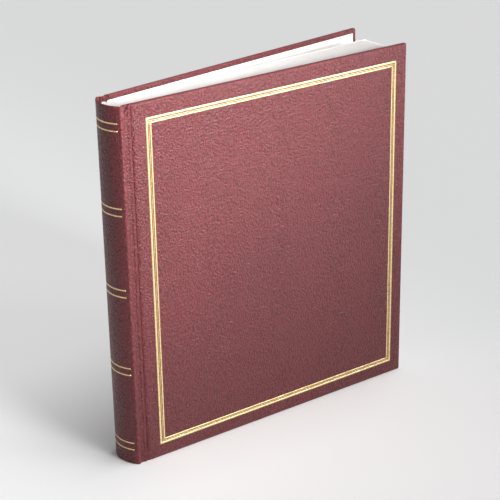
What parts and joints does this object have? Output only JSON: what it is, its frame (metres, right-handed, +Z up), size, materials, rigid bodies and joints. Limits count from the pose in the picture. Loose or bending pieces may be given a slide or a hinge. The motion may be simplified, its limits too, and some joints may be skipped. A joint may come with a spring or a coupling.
{
  "type": "stamp album",
  "caption": "Bound stamp album with a padded leatherette case, rounded spine with ruled gold lines, gold-bordered front cover and pocketed stock leaves that open as a fan.",
  "frame": {"origin": "under the middle of the album as it stands on its tail edge, slightly open; the centre of its bounding box at the floor", "axes": "+Z up along the spine, from tail to head; +X from the spine to the fore edge; +Y from the front cover to the back cover"},
  "size_m": [0.2996, 0.0713, 0.32],
  "materials": {
    "leatherette": "satin grained burgundy leatherette over board and foam",
    "gold_foil": "blocked gold foil, satin",
    "greyboard": "matt",
    "foam": "matt",
    "hinge_cloth": "matt",
    "white_paper": "matt",
    "stock_card": "matt, with clear pocket strips",
    "glassine": "translucent, slightly glossy"
  },
  "bodies": {
    "binding": {"spine_cover": "leatherette", "spine_inlay": "greyboard", "spine_lining": "hinge_cloth", "guard_block": "white_paper", "front_hinge_cloth": "hinge_cloth", "back_hinge_cloth": "hinge_cloth", "spine_line_01": "gold_foil", "spine_line_02": "gold_foil", "spine_line_03": "gold_foil", "spine_line_04": "gold_foil", "spine_line_05": "gold_foil", "spine_line_06": "gold_foil", "spine_line_07": "gold_foil", "spine_line_08": "gold_foil", "spine_line_09": "gold_foil", "spine_line_10": "gold_foil"},
    "front_cover": {"front_leatherette": "leatherette", "front_pad": "foam", "front_board": "greyboard", "front_pastedown": "white_paper", "front_border_outer_line": "gold_foil", "front_border_hairline": "gold_foil", "front_border_inner_line": "gold_foil"},
    "back_cover": {"back_leatherette": "leatherette", "back_pad": "foam", "back_board": "greyboard", "back_pastedown": "white_paper"},
    "front_flyleaf": {"front_flyleaf": "white_paper"},
    "leaf_01": {"leaf_01": "stock_card"},
    "interleaf_01": {"interleaf_01": "glassine"},
    "leaf_02": {"leaf_02": "stock_card"},
    "interleaf_02": {"interleaf_02": "glassine"},
    "leaf_03": {"leaf_03": "stock_card"},
    "interleaf_03": {"interleaf_03": "glassine"},
    "leaf_04": {"leaf_04": "stock_card"},
    "interleaf_04": {"interleaf_04": "glassine"},
    "leaf_05": {"leaf_05": "stock_card"},
    "interleaf_05": {"interleaf_05": "glassine"},
    "leaf_06": {"leaf_06": "stock_card"},
    "interleaf_06": {"interleaf_06": "glassine"},
    "leaf_07": {"leaf_07": "stock_card"},
    "interleaf_07": {"interleaf_07": "glassine"},
    "leaf_08": {"leaf_08": "stock_card"},
    "interleaf_08": {"interleaf_08": "glassine"},
    "leaf_09": {"leaf_09": "stock_card"},
    "interleaf_09": {"interleaf_09": "glassine"},
    "leaf_10": {"leaf_10": "stock_card"},
    "interleaf_10": {"interleaf_10": "glassine"},
    "leaf_11": {"leaf_11": "stock_card"},
    "interleaf_11": {"interleaf_11": "glassine"},
    "leaf_12": {"leaf_12": "stock_card"},
    "interleaf_12": {"interleaf_12": "glassine"},
    "leaf_13": {"leaf_13": "stock_card"},
    "interleaf_13": {"interleaf_13": "glassine"},
    "leaf_14": {"leaf_14": "stock_card"},
    "interleaf_14": {"interleaf_14": "glassine"},
    "leaf_15": {"leaf_15": "stock_card"},
    "interleaf_15": {"interleaf_15": "glassine"},
    "leaf_16": {"leaf_16": "stock_card"},
    "back_flyleaf": {"back_flyleaf": "white_paper"}
  },
  "joints": [
    {"name": "front_cover_hinge", "type": "hinge", "parent": "binding", "child": "front_cover", "pos_m": [-0.13725, -0.02805, 0], "axis": [0, 0, -1], "range_deg": [-1.5, 168.5]},
    {"name": "back_cover_hinge", "type": "hinge", "parent": "binding", "child": "back_cover", "pos_m": [-0.13725, 0.00755, 0], "axis": [0, 0, 1], "range_deg": [-5.6, 164.4]},
    {"name": "front_flyleaf_fold", "type": "hinge", "parent": "binding", "child": "front_flyleaf", "pos_m": [-0.13575, -0.02362, 0], "axis": [0, 0, -1], "range_deg": [-0.76, 84.26]},
    {"name": "leaf_01_fold", "type": "hinge", "parent": "binding", "child": "leaf_01", "pos_m": [-0.13488, -0.0224, 0], "axis": [0, 0, -1], "range_deg": [-0.7, 77.53]},
    {"name": "interleaf_01_fold", "type": "hinge", "parent": "binding", "child": "interleaf_01", "pos_m": [-0.13435, -0.02159, 0], "axis": [0, 0, -1], "range_deg": [-0.66, 72.36]},
    {"name": "leaf_02_fold", "type": "hinge", "parent": "binding", "child": "leaf_02", "pos_m": [-0.13385, -0.02078, 0], "axis": [0, 0, -1], "range_deg": [-0.61, 67.19]},
    {"name": "interleaf_02_fold", "type": "hinge", "parent": "binding", "child": "interleaf_02", "pos_m": [-0.13339, -0.01997, 0], "axis": [0, 0, -1], "range_deg": [-0.57, 62.02]},
    {"name": "leaf_03_fold", "type": "hinge", "parent": "binding", "child": "leaf_03", "pos_m": [-0.13297, -0.01916, 0], "axis": [0, 0, -1], "range_deg": [-0.52, 56.86]},
    {"name": "interleaf_03_fold", "type": "hinge", "parent": "binding", "child": "interleaf_03", "pos_m": [-0.13259, -0.01835, 0], "axis": [0, 0, -1], "range_deg": [-0.48, 51.69]},
    {"name": "leaf_04_fold", "type": "hinge", "parent": "binding", "child": "leaf_04", "pos_m": [-0.13224, -0.01754, 0], "axis": [0, 0, -1], "range_deg": [-0.43, 46.52]},
    {"name": "interleaf_04_fold", "type": "hinge", "parent": "binding", "child": "interleaf_04", "pos_m": [-0.13192, -0.01673, 0], "axis": [0, 0, -1], "range_deg": [-0.38, 41.35]},
    {"name": "leaf_05_fold", "type": "hinge", "parent": "binding", "child": "leaf_05", "pos_m": [-0.13165, -0.01592, 0], "axis": [0, 0, -1], "range_deg": [-0.34, 36.19]},
    {"name": "interleaf_05_fold", "type": "hinge", "parent": "binding", "child": "interleaf_05", "pos_m": [-0.13141, -0.01511, 0], "axis": [0, 0, -1], "range_deg": [-0.29, 31.02]},
    {"name": "leaf_06_fold", "type": "hinge", "parent": "binding", "child": "leaf_06", "pos_m": [-0.13121, -0.0143, 0], "axis": [0, 0, -1], "range_deg": [-0.25, 25.85]},
    {"name": "interleaf_06_fold", "type": "hinge", "parent": "binding", "child": "interleaf_06", "pos_m": [-0.13104, -0.01349, 0], "axis": [0, 0, -1], "range_deg": [-0.2, 20.68]},
    {"name": "leaf_07_fold", "type": "hinge", "parent": "binding", "child": "leaf_07", "pos_m": [-0.13092, -0.01268, 0], "axis": [0, 0, -1], "range_deg": [-0.15, 15.52]},
    {"name": "interleaf_07_fold", "type": "hinge", "parent": "binding", "child": "interleaf_07", "pos_m": [-0.13082, -0.01187, 0], "axis": [0, 0, -1], "range_deg": [-0.11, 10.35]},
    {"name": "leaf_08_fold", "type": "hinge", "parent": "binding", "child": "leaf_08", "pos_m": [-0.13077, -0.01106, 0], "axis": [0, 0, -1], "range_deg": [-0.06, 5.18]},
    {"name": "interleaf_08_fold", "type": "hinge", "parent": "binding", "child": "interleaf_08", "pos_m": [-0.13075, -0.01025, 0], "axis": [0, 0, 1], "range_deg": [-0.06, 1.44]},
    {"name": "leaf_09_fold", "type": "hinge", "parent": "binding", "child": "leaf_09", "pos_m": [-0.13077, -0.00944, 0], "axis": [0, 0, 1], "range_deg": [-0.11, 2.86]},
    {"name": "interleaf_09_fold", "type": "hinge", "parent": "binding", "child": "interleaf_09", "pos_m": [-0.13082, -0.00863, 0], "axis": [0, 0, 1], "range_deg": [-0.21, 5.71]},
    {"name": "leaf_10_fold", "type": "hinge", "parent": "binding", "child": "leaf_10", "pos_m": [-0.13092, -0.00782, 0], "axis": [0, 0, 1], "range_deg": [-0.31, 8.56]},
    {"name": "interleaf_10_fold", "type": "hinge", "parent": "binding", "child": "interleaf_10", "pos_m": [-0.13104, -0.00701, 0], "axis": [0, 0, 1], "range_deg": [-0.4, 11.41]},
    {"name": "leaf_11_fold", "type": "hinge", "parent": "binding", "child": "leaf_11", "pos_m": [-0.13121, -0.0062, 0], "axis": [0, 0, 1], "range_deg": [-0.5, 14.26]},
    {"name": "interleaf_11_fold", "type": "hinge", "parent": "binding", "child": "interleaf_11", "pos_m": [-0.13141, -0.00539, 0], "axis": [0, 0, 1], "range_deg": [-0.6, 17.11]},
    {"name": "leaf_12_fold", "type": "hinge", "parent": "binding", "child": "leaf_12", "pos_m": [-0.13165, -0.00458, 0], "axis": [0, 0, 1], "range_deg": [-0.69, 19.96]},
    {"name": "interleaf_12_fold", "type": "hinge", "parent": "binding", "child": "interleaf_12", "pos_m": [-0.13192, -0.00377, 0], "axis": [0, 0, 1], "range_deg": [-0.79, 22.81]},
    {"name": "leaf_13_fold", "type": "hinge", "parent": "binding", "child": "leaf_13", "pos_m": [-0.13224, -0.00296, 0], "axis": [0, 0, 1], "range_deg": [-0.89, 25.66]},
    {"name": "interleaf_13_fold", "type": "hinge", "parent": "binding", "child": "interleaf_13", "pos_m": [-0.13259, -0.00215, 0], "axis": [0, 0, 1], "range_deg": [-0.99, 28.51]},
    {"name": "leaf_14_fold", "type": "hinge", "parent": "binding", "child": "leaf_14", "pos_m": [-0.13297, -0.00134, 0], "axis": [0, 0, 1], "range_deg": [-1.08, 31.36]},
    {"name": "interleaf_14_fold", "type": "hinge", "parent": "binding", "child": "interleaf_14", "pos_m": [-0.13339, -0.00053, 0], "axis": [0, 0, 1], "range_deg": [-1.18, 34.21]},
    {"name": "leaf_15_fold", "type": "hinge", "parent": "binding", "child": "leaf_15", "pos_m": [-0.13385, 0.00028, 0], "axis": [0, 0, 1], "range_deg": [-1.28, 37.06]},
    {"name": "interleaf_15_fold", "type": "hinge", "parent": "binding", "child": "interleaf_15", "pos_m": [-0.13435, 0.00109, 0], "axis": [0, 0, 1], "range_deg": [-1.37, 39.91]},
    {"name": "leaf_16_fold", "type": "hinge", "parent": "binding", "child": "leaf_16", "pos_m": [-0.13488, 0.0019, 0], "axis": [0, 0, 1], "range_deg": [-1.47, 42.76]},
    {"name": "back_flyleaf_fold", "type": "hinge", "parent": "binding", "child": "back_flyleaf", "pos_m": [-0.13575, 0.00312, 0], "axis": [0, 0, 1], "range_deg": [-1.81, 52.62]}
  ],
  "couplings": [
    {"joint": "front_flyleaf_fold", "follows": "front_cover_hinge", "ratio": 0.5},
    {"joint": "leaf_01_fold", "follows": "front_cover_hinge", "ratio": 0.46},
    {"joint": "interleaf_01_fold", "follows": "front_cover_hinge", "ratio": 0.42933},
    {"joint": "leaf_02_fold", "follows": "front_cover_hinge", "ratio": 0.39867},
    {"joint": "interleaf_02_fold", "follows": "front_cover_hinge", "ratio": 0.368},
    {"joint": "leaf_03_fold", "follows": "front_cover_hinge", "ratio": 0.33733},
    {"joint": "interleaf_03_fold", "follows": "front_cover_hinge", "ratio": 0.30667},
    {"joint": "leaf_04_fold", "follows": "front_cover_hinge", "ratio": 0.276},
    {"joint": "interleaf_04_fold", "follows": "front_cover_hinge", "ratio": 0.24533},
    {"joint": "leaf_05_fold", "follows": "front_cover_hinge", "ratio": 0.21467},
    {"joint": "interleaf_05_fold", "follows": "front_cover_hinge", "ratio": 0.184},
    {"joint": "leaf_06_fold", "follows": "front_cover_hinge", "ratio": 0.15333},
    {"joint": "interleaf_06_fold", "follows": "front_cover_hinge", "ratio": 0.12267},
    {"joint": "leaf_07_fold", "follows": "front_cover_hinge", "ratio": 0.092},
    {"joint": "interleaf_07_fold", "follows": "front_cover_hinge", "ratio": 0.061333},
    {"joint": "leaf_08_fold", "follows": "front_cover_hinge", "ratio": 0.030667},
    {"joint": "interleaf_08_fold", "follows": "back_cover_hinge", "ratio": 0.008667},
    {"joint": "leaf_09_fold", "follows": "back_cover_hinge", "ratio": 0.017333},
    {"joint": "interleaf_09_fold", "follows": "back_cover_hinge", "ratio": 0.034667},
    {"joint": "leaf_10_fold", "follows": "back_cover_hinge", "ratio": 0.052},
    {"joint": "interleaf_10_fold", "follows": "back_cover_hinge", "ratio": 0.069333},
    {"joint": "leaf_11_fold", "follows": "back_cover_hinge", "ratio": 0.086667},
    {"joint": "interleaf_11_fold", "follows": "back_cover_hinge", "ratio": 0.104},
    {"joint": "leaf_12_fold", "follows": "back_cover_hinge", "ratio": 0.12133},
    {"joint": "interleaf_12_fold", "follows": "back_cover_hinge", "ratio": 0.13867},
    {"joint": "leaf_13_fold", "follows": "back_cover_hinge", "ratio": 0.156},
    {"joint": "interleaf_13_fold", "follows": "back_cover_hinge", "ratio": 0.17333},
    {"joint": "leaf_14_fold", "follows": "back_cover_hinge", "ratio": 0.19067},
    {"joint": "interleaf_14_fold", "follows": "back_cover_hinge", "ratio": 0.208},
    {"joint": "leaf_15_fold", "follows": "back_cover_hinge", "ratio": 0.22533},
    {"joint": "interleaf_15_fold", "follows": "back_cover_hinge", "ratio": 0.24267},
    {"joint": "leaf_16_fold", "follows": "back_cover_hinge", "ratio": 0.26},
    {"joint": "back_flyleaf_fold", "follows": "back_cover_hinge", "ratio": 0.32}
  ]
}
